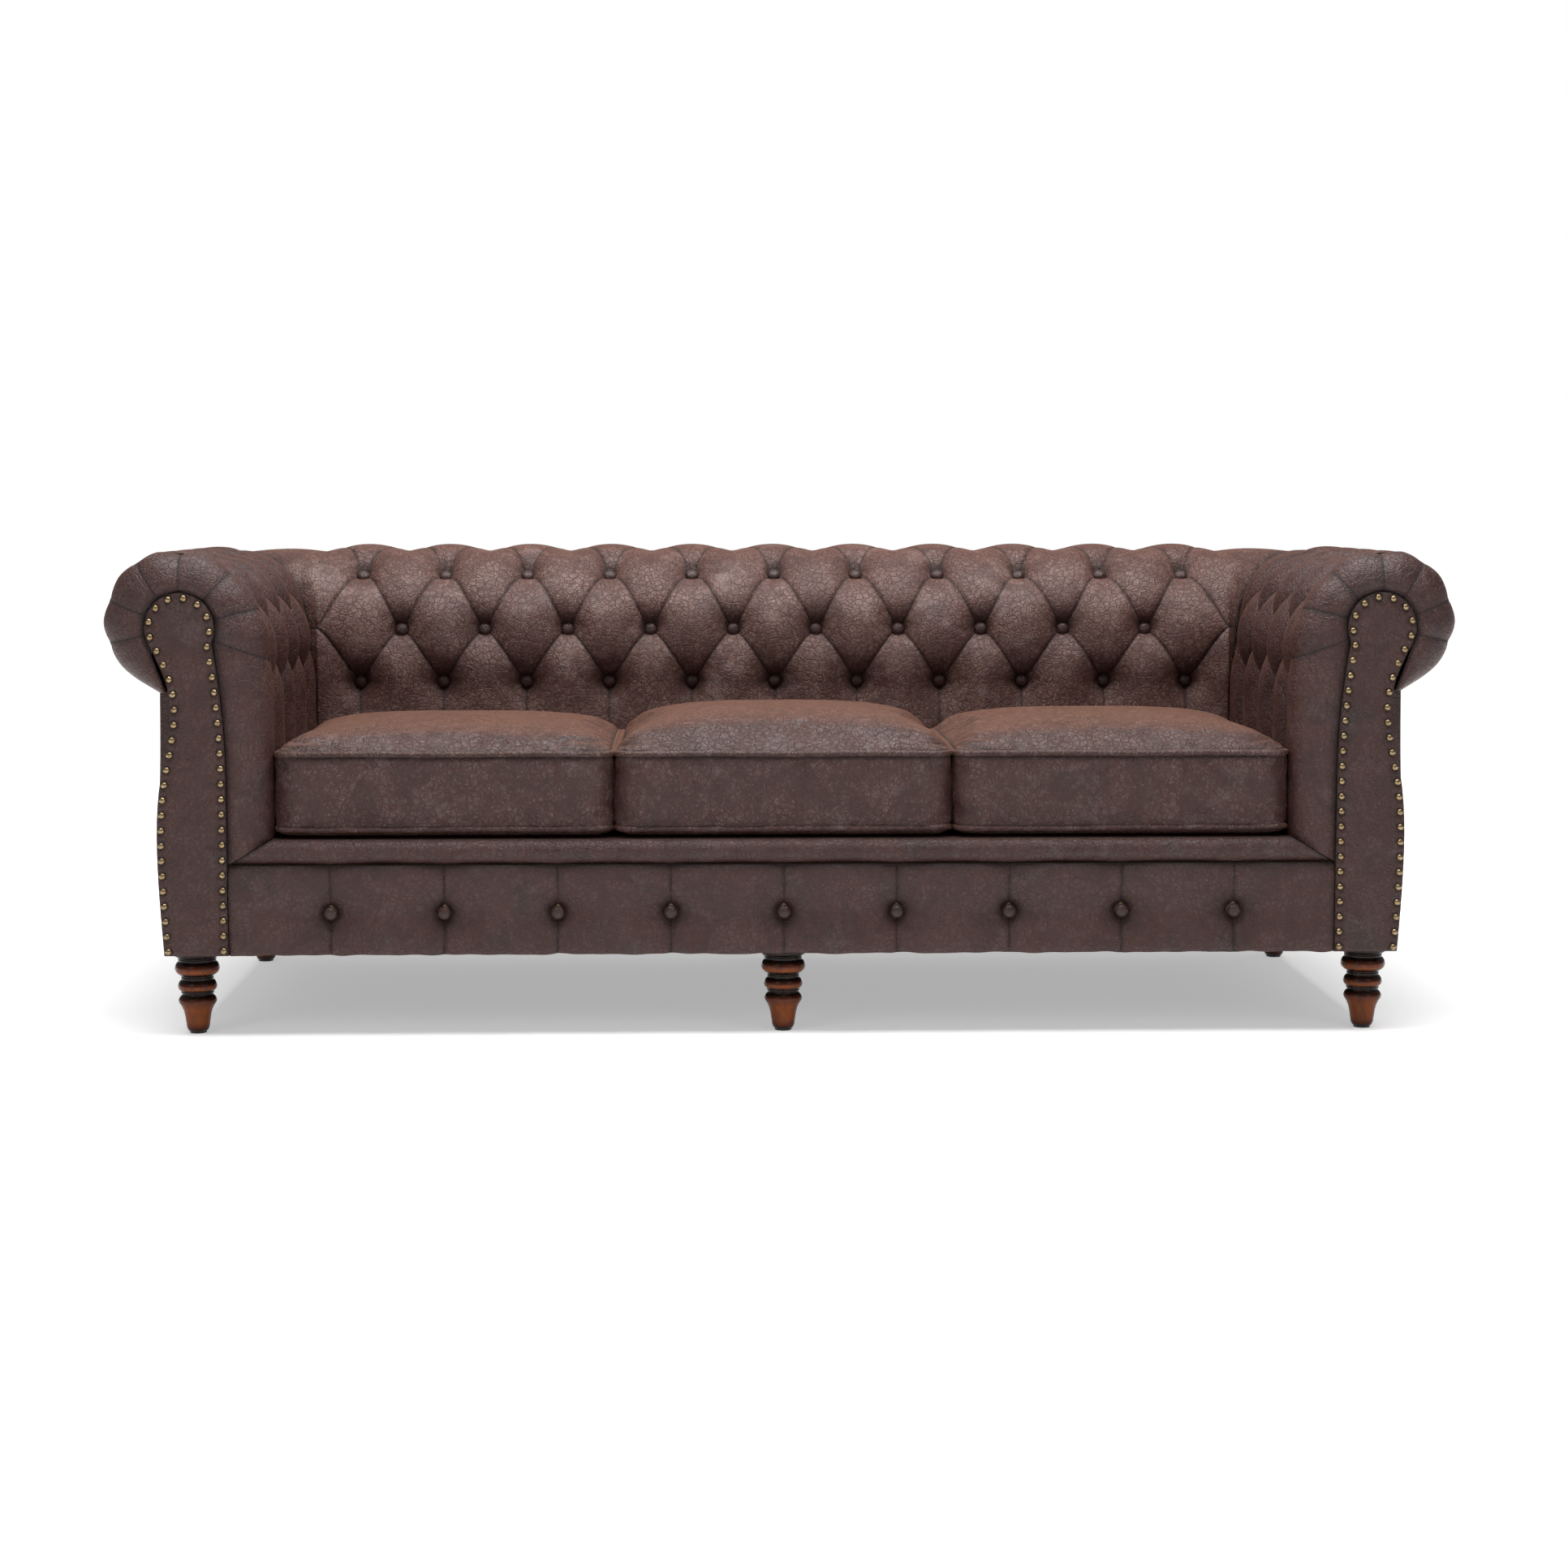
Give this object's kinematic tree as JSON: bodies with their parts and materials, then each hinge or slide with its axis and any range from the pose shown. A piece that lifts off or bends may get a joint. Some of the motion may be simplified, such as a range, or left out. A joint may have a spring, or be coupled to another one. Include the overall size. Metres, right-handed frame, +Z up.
{
  "type": "chesterfield sofa",
  "caption": "Rolled-arm sofa with deep diamond-tufted back and arms, buttoned front border, loose seat cushions and turned wooden feet.",
  "frame": {"origin": "on the floor, under the middle of the sofa", "axes": "+Z up, -Y towards the front where the sitter faces, +X along the seat"},
  "size_m": [2.06, 0.9, 0.74],
  "materials": {
    "leather": "dark brown distressed leather, semi-gloss with worn ridges",
    "button_leather": "the same leather over covered buttons",
    "cushion_leather": "brown distressed leather, warmer and softer on the seat",
    "cushion_piping": "dark brown leather piping",
    "nail_brass": "antiqued brass, polished on the domes",
    "foam": "open-cell foam",
    "frame_timber": "sawn softwood, raw",
    "steel": "bright drawn steel",
    "cloth": "black bonded cloth",
    "turned_wood": "red-brown stained hardwood under gloss lacquer",
    "glide": "moulded black nylon"
  },
  "bodies": {
    "sofa": {"inside_back_cover": "leather", "left_inside_arm_cover": "leather", "right_inside_arm_cover": "leather", "outside_back_cover": "leather", "left_outside_arm_cover": "leather", "right_outside_arm_cover": "leather", "front_border_cover": "leather", "front_lip_roll": "leather", "left_arm_facing": "leather", "right_arm_facing": "leather", "back_buttons": "button_leather", "left_arm_buttons": "button_leather", "right_arm_buttons": "button_leather", "front_border_buttons": "button_leather", "left_facing_nails": "nail_brass", "right_facing_nails": "nail_brass", "back_foam": "foam", "left_arm_foam": "foam", "right_arm_foam": "foam", "front_rail": "frame_timber", "seat_rear_rail": "frame_timber", "back_rail": "frame_timber", "centre_rail": "frame_timber", "back_uprights": "frame_timber", "back_top_rail": "frame_timber", "back_tuck_rail": "frame_timber", "leg_blocks": "frame_timber", "left_side_rail": "frame_timber", "left_arm_post": "frame_timber", "left_rear_arm_post": "frame_timber", "left_arm_top_board": "frame_timber", "left_arm_inner_board": "frame_timber", "right_side_rail": "frame_timber", "right_arm_post": "frame_timber", "right_rear_arm_post": "frame_timber", "right_arm_top_board": "frame_timber", "right_arm_inner_board": "frame_timber", "seat_springs": "steel", "spring_clips": "steel", "leg_bolts": "steel", "seat_deck": "cloth", "seat_felt": "cloth", "dust_cover": "cloth", "back_webbing": "cloth", "leg_front_left": "turned_wood", "leg_front_middle": "turned_wood", "leg_front_right": "turned_wood", "leg_rear_left": "turned_wood", "leg_rear_middle": "turned_wood", "leg_rear_right": "turned_wood", "leg_glides": "glide"},
    "left_seat_cushion": {"left_cushion_cover": "cushion_leather", "left_cushion_core": "foam", "left_cushion_piping": "cushion_piping"},
    "middle_seat_cushion": {"middle_cushion_cover": "cushion_leather", "middle_cushion_core": "foam", "middle_cushion_piping": "cushion_piping"},
    "right_seat_cushion": {"right_cushion_cover": "cushion_leather", "right_cushion_core": "foam", "right_cushion_piping": "cushion_piping"}
  },
  "joints": [
    {"name": "left_cushion_lift", "type": "slide", "parent": "sofa", "child": "left_seat_cushion", "axis": [0, 0, 1], "range_m": [0, 0.46]},
    {"name": "middle_cushion_lift", "type": "slide", "parent": "sofa", "child": "middle_seat_cushion", "axis": [0, 0, 1], "range_m": [0, 0.46]},
    {"name": "right_cushion_lift", "type": "slide", "parent": "sofa", "child": "right_seat_cushion", "axis": [0, 0, 1], "range_m": [0, 0.46]}
  ]
}
